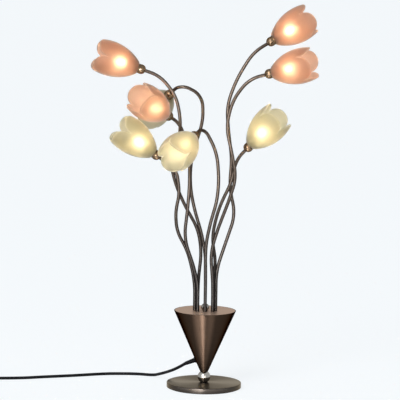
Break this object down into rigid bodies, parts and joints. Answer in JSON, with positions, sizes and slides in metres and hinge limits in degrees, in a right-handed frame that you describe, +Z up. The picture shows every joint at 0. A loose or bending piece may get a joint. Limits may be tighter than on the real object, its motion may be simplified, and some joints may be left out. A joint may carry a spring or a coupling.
{
  "type": "table lamp",
  "caption": "Table lamp with a bouquet of bent tubes rising from an upturned cone on a round foot, each ending in a frosted glass tulip shade.",
  "frame": {"origin": "centre of the foot's underside, on the table", "axes": "+Z up along the cone's axis, -Y towards the front, +X to the viewer's right"},
  "size_m": [0.7055, 0.2541, 0.6944],
  "materials": {
    "brushed_bronze": "brushed, lacquered dark bronze",
    "polished_nickel": "polished dark nickel",
    "satin_plate": "satin, pale bronze",
    "zinc_steel": "zinc plated",
    "felt": "felt",
    "rubber": "matte rubber",
    "winding_tape": "taped copper winding on a steel core",
    "ceramic": "glazed steatite",
    "pink_glass": "frosted salmon pink glass",
    "green_glass": "frosted yellow-green glass",
    "bulb_glass": "clear quartz glass, lit",
    "black_cord": "satin black PVC",
    "black_plastic": "fine-grained black plastic",
    "plug_brass": "nickel plated brass"
  },
  "bodies": {
    "lamp": {"foot_pad": "felt", "foot_disc": "brushed_bronze", "foot_ball": "polished_nickel", "cone_shell": "brushed_bronze", "top_plate": "satin_plate", "top_ball_nut": "polished_nickel", "tie_rod": "zinc_steel", "foot_nut": "zinc_steel", "foot_washer": "zinc_steel", "tube_nuts": "zinc_steel", "toroid_transformer": "winding_tape", "rubber_pads": "rubber", "clamp_washers": "zinc_steel", "clamp_nuts": "zinc_steel", "terminal_bracket": "zinc_steel", "terminal_block": "ceramic", "stem_1": "brushed_bronze", "stem_2": "brushed_bronze", "stem_3": "brushed_bronze", "stem_4": "brushed_bronze", "stem_5": "brushed_bronze", "stem_6": "brushed_bronze", "stem_7": "brushed_bronze", "stem_8": "brushed_bronze", "cup_1": "brushed_bronze", "cup_2": "brushed_bronze", "cup_3": "brushed_bronze", "cup_4": "brushed_bronze", "cup_5": "brushed_bronze", "cup_6": "brushed_bronze", "cup_7": "brushed_bronze", "cup_8": "brushed_bronze", "lampholders": "ceramic", "glass_rings": "polished_nickel", "bulb_1": "bulb_glass", "bulb_2": "bulb_glass", "bulb_3": "bulb_glass", "bulb_4": "bulb_glass", "bulb_5": "bulb_glass", "bulb_6": "bulb_glass", "bulb_7": "bulb_glass", "bulb_8": "bulb_glass", "strain_relief": "black_cord", "cord_lead": "black_cord", "switch_lower": "black_plastic", "switch_upper": "black_plastic", "cord_middle": "black_cord", "cord_coil": "black_cord", "cord_tail": "black_cord", "plug_body": "black_plastic", "plug_pins": "plug_brass"},
    "glass_1": {"shade_1": "pink_glass"},
    "glass_2": {"shade_2": "pink_glass"},
    "glass_3": {"shade_3": "green_glass"},
    "glass_4": {"shade_4": "pink_glass"},
    "glass_5": {"shade_5": "pink_glass"},
    "glass_6": {"shade_6": "green_glass"},
    "glass_7": {"shade_7": "green_glass"},
    "glass_8": {"shade_8": "green_glass"},
    "rocker": {"switch_rocker": "black_plastic"}
  },
  "joints": [
    {"name": "shade_1_turn", "type": "hinge", "parent": "lamp", "child": "glass_1", "pos_m": [0.115, 0.03, 0.62981], "axis": [0.8303, 0.2306, 0.5074], "continuous": true},
    {"name": "shade_2_turn", "type": "hinge", "parent": "lamp", "child": "glass_2", "pos_m": [0.112, -0.036, 0.57481], "axis": [0.9014, -0.338, 0.2704], "continuous": true},
    {"name": "shade_3_turn", "type": "hinge", "parent": "lamp", "child": "glass_3", "pos_m": [0.076, -0.013, 0.44381], "axis": [0.6391, -0.2812, 0.7158], "continuous": true},
    {"name": "shade_4_turn", "type": "hinge", "parent": "lamp", "child": "glass_4", "pos_m": [-0.126, -0.024, 0.57881], "axis": [-0.9442, -0.0968, 0.3147], "continuous": true},
    {"name": "shade_5_turn", "type": "hinge", "parent": "lamp", "child": "glass_5", "pos_m": [-0.075, 0.01, 0.49381], "axis": [-0.6456, -0.6176, 0.4491], "continuous": true},
    {"name": "shade_6_turn", "type": "hinge", "parent": "lamp", "child": "glass_6", "pos_m": [-0.096, -0.018, 0.42681], "axis": [-0.7979, -0.1182, 0.5911], "continuous": true},
    {"name": "shade_7_turn", "type": "hinge", "parent": "lamp", "child": "glass_7", "pos_m": [-0.027, -0.054, 0.45981], "axis": [-0.4556, -0.7913, -0.4077], "continuous": true},
    {"name": "shade_8_turn", "type": "hinge", "parent": "lamp", "child": "glass_8", "pos_m": [-0.073, 0.039, 0.52581], "axis": [-0.4894, 0.6896, -0.5339], "continuous": true},
    {"name": "rocker_tip", "type": "hinge", "parent": "lamp", "child": "rocker", "pos_m": [-0.412, -0.031, 0.0125], "axis": [1, 0, 0], "range_deg": [-16, 0]}
  ]
}
